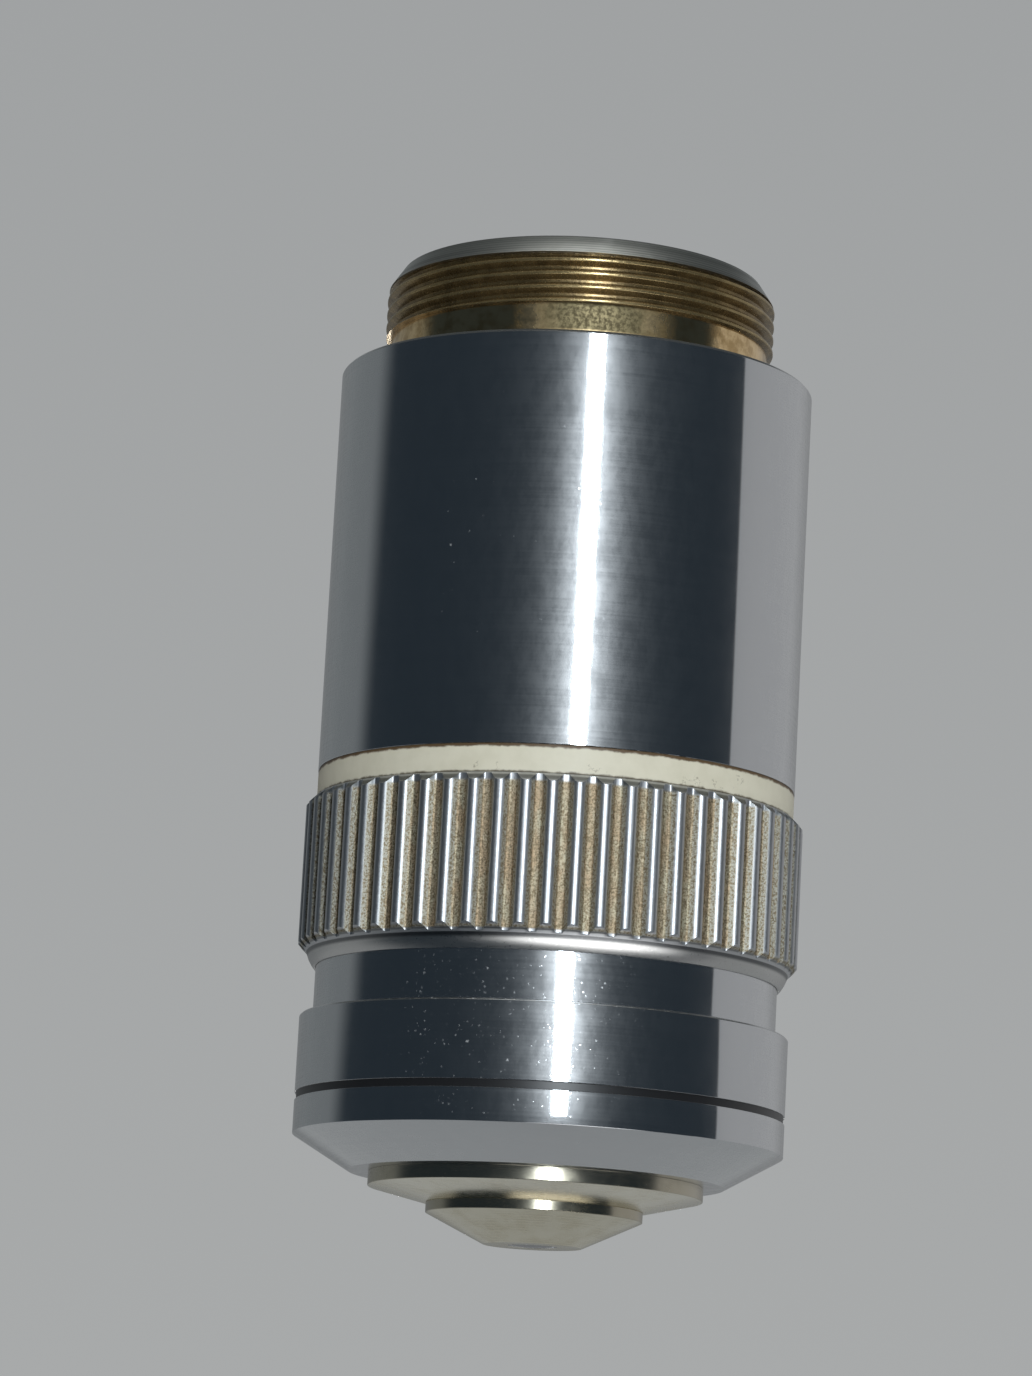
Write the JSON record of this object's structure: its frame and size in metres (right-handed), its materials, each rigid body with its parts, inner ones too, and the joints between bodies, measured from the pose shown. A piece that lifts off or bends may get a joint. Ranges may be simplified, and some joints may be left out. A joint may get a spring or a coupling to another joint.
{
  "type": "microscope objective",
  "caption": "High-power oil-immersion microscope objective: threaded collar, plain barrel, colour ring, knurled grip and a spring-loaded conical nose that slides up to protect the slide.",
  "frame": {"origin": "on the optical axis, in the plane of the shoulder that seats on the nosepiece", "axes": "+Z along the axis towards the mounting thread, so the nose hangs down along -Z; +X through the hidden guide pin"},
  "size_m": [0.0254, 0.0254, 0.0502],
  "materials": {
    "chrome_plate": "bright chrome plate on turned brass, fine turning marks",
    "nickel_plate": "satin nickel plate, browned dirt in the knurl's grooves",
    "nickel_silver": "satin turned nickel silver with a warm cast",
    "thread_brass": "bare turned brass, slightly tarnished",
    "cream_plastic": "aged cream-white plastic",
    "cell_brass": "turned brass",
    "blackened_brass": "matt blackened brass",
    "spring_steel": "drawn spring steel",
    "optical_glass": "polished, coated"
  },
  "bodies": {
    "body": {"thread_collar": "thread_brass", "outer_barrel": "chrome_plate", "colour_ring": "cream_plastic", "knurled_grip": "nickel_plate", "guide_tube": "chrome_plate", "guide_pin": "spring_steel", "parfocal_shim": "cell_brass", "return_spring": "spring_steel", "spring_seat_ring": "cell_brass", "rear_baffle": "blackened_brass"},
    "nose": {"nose_sleeve": "chrome_plate", "lens_barrel": "cell_brass", "front_mount": "nickel_silver", "front_lens_cell": "nickel_silver", "front_lens": "optical_glass", "meniscus_cell": "cell_brass", "meniscus_lens": "optical_glass", "doublet_a_cell": "cell_brass", "doublet_a_flint": "optical_glass", "doublet_a_crown": "optical_glass", "spacer_a": "cell_brass", "doublet_b_cell": "cell_brass", "doublet_b_flint": "optical_glass", "doublet_b_crown": "optical_glass", "spacer_b": "cell_brass", "rear_doublet_cell": "cell_brass", "rear_doublet_flint": "optical_glass", "rear_doublet_crown": "optical_glass", "retaining_ring": "blackened_brass"}
  },
  "joints": [
    {"name": "nose_slide", "type": "slide", "parent": "body", "child": "nose", "axis": [0, 0, 1], "range_m": [0, 0.0022], "stiffness_N_per_m": 165, "springref_m": -0.006, "deforming": ["return_spring"]}
  ]
}
